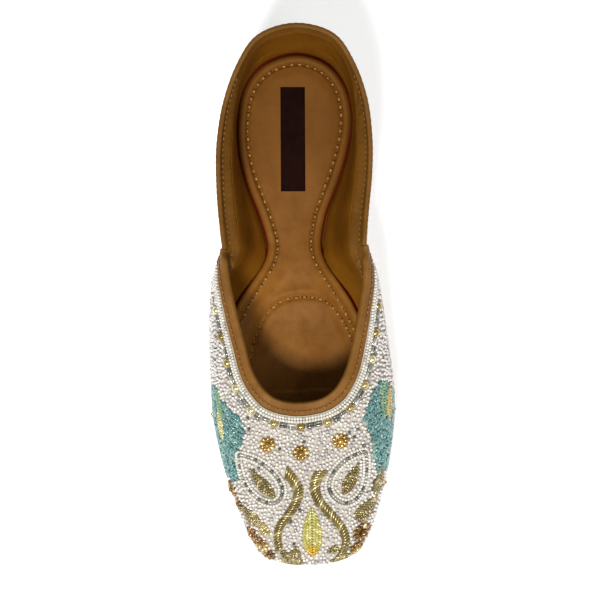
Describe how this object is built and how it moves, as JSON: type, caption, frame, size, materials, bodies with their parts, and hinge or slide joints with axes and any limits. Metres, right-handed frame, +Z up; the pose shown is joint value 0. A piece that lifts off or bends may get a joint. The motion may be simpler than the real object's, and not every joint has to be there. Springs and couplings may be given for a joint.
{
  "type": "flat shoe",
  "caption": "Slip-on flat shoe for the right foot: beaded vamp over a leather upper, bound throat and topline, padded insole and thin moulded rubber sole with a low heel.",
  "frame": {"origin": "middle of the shoe's bounding box in plan, on the floor under the sole", "axes": "+Z up, -Y towards the toe and +Y towards the heel, +X towards the inner side of the right foot"},
  "size_m": [0.09, 0.2608, 0.0644],
  "materials": {
    "brown_rubber": "matt moulded rubber with a fine cross-hatched tread",
    "cream_rubber": "satin cream edge",
    "tan_insole": "padded, stitched lining leather",
    "silver_leather": "smooth silvery off-white leather",
    "tan_lining": "smooth lining leather",
    "beaded_cloth": "pearly seed beads sewn on cream cloth",
    "tan_binding": "folded and stitched binding leather"
  },
  "bodies": {
    "root": {"outsole": "brown_rubber", "rand": "cream_rubber", "insole": "tan_insole", "upper": "silver_leather", "quarter_lining": "tan_lining", "vamp_beadwork": "beaded_cloth", "throat_binding": "tan_binding", "topline_binding": "tan_binding", "rear_binding_inner": "tan_binding", "rear_binding_outer": "tan_binding"}
  },
  "joints": []
}
